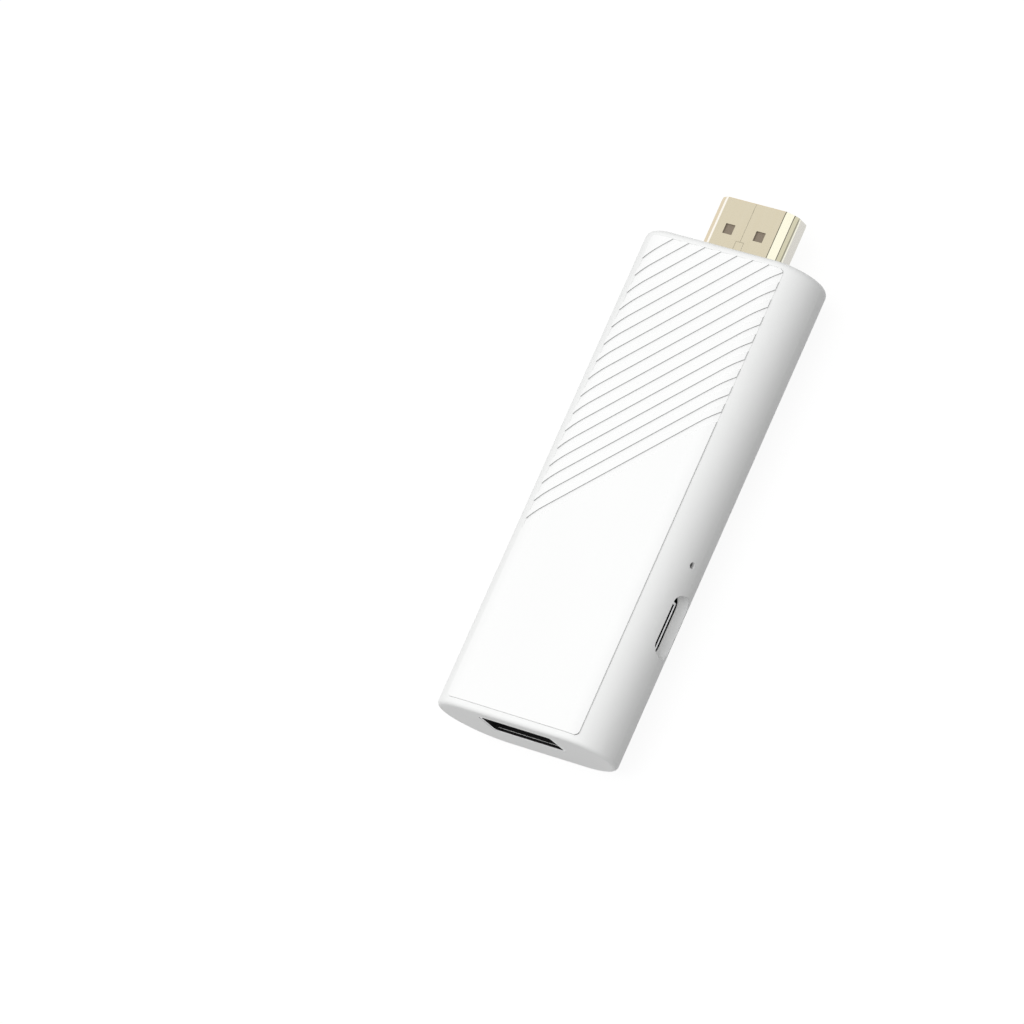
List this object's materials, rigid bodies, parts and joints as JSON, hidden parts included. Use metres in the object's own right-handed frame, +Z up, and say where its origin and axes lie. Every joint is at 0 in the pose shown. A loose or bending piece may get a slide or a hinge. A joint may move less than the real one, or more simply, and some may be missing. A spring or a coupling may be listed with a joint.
{
  "type": "streaming stick",
  "caption": "Slim white streaming stick with a diagonally ribbed cover, an HDMI plug at one end, a USB-A socket at the other, a micro-USB power socket and a reset pinhole in its side.",
  "frame": {"origin": "under the middle of the whole length and width, on the surface that the stick lies on", "axes": "+X along the stick towards the HDMI plug, +Z up through the ribbed cover, -Y towards the side with the power socket"},
  "size_m": [0.0872, 0.0308, 0.0142],
  "materials": {
    "case_plastic": "satin moulded white",
    "cover_plastic": "glossy moulded white",
    "plug_plating": "satin pale gold plating",
    "socket_metal": "bright tin plated",
    "plug_moulding": "natural taupe moulding",
    "socket_moulding": "black moulding",
    "contact_gold": "gold flash",
    "comb_moulding": "black moulding",
    "board_laminate": "green solder resist on glass laminate",
    "screw_steel": "zinc plated",
    "chip_epoxy": "moulded black epoxy",
    "ferrite": "pressed grey ferrite",
    "ceramic": "tan ceramic with tinned ends",
    "resistor_film": "black film with tinned ends",
    "crystal_metal": "lapped metal lid",
    "shield_metal": "nickel silver sheet",
    "thermal_rubber": "soft grey pad",
    "spreader_metal": "bead blasted",
    "terminal_tin": "tinned",
    "switch_moulding": "black moulding",
    "button_moulding": "dark moulding",
    "dome_steel": "stainless sheet"
  },
  "bodies": {
    "stick": {"lower_housing": "case_plastic", "top_cover": "cover_plastic", "hdmi_shell": "plug_plating", "hdmi_insulator": "plug_moulding", "hdmi_contacts": "contact_gold", "hdmi_rear_spacer": "comb_moulding", "main_board": "board_laminate", "board_screws": "screw_steel", "usb_a_shell": "socket_metal", "usb_a_tongue": "socket_moulding", "usb_a_contacts": "contact_gold", "micro_usb_shell": "socket_metal", "micro_usb_tongue": "socket_moulding", "micro_usb_contacts": "contact_gold", "switch_base": "switch_moulding", "switch_dome": "dome_steel", "switch_frame": "socket_metal", "switch_terminals": "terminal_tin", "processor": "chip_epoxy", "memory_chips": "chip_epoxy", "storage_chip": "chip_epoxy", "power_chip": "chip_epoxy", "power_inductors": "ferrite", "bulk_capacitors": "ceramic", "ceramic_capacitors": "ceramic", "chip_resistors": "resistor_film", "main_crystal": "crystal_metal", "line_chokes": "ferrite", "surge_arrays": "chip_epoxy", "regulators": "chip_epoxy", "shield_frame": "shield_metal", "shield_lid": "shield_metal", "lower_thermal_pad": "thermal_rubber", "upper_thermal_pad": "thermal_rubber", "heat_spreader": "spreader_metal", "wifi_board": "board_laminate", "wifi_can": "shield_metal", "wifi_antenna": "terminal_tin"},
    "reset_button": {"switch_plunger": "button_moulding"}
  },
  "joints": [
    {"name": "reset_press", "type": "slide", "parent": "stick", "child": "reset_button", "axis": [0, 1, 0], "range_m": [0, 0.00025], "stiffness_N_per_m": 5000}
  ]
}
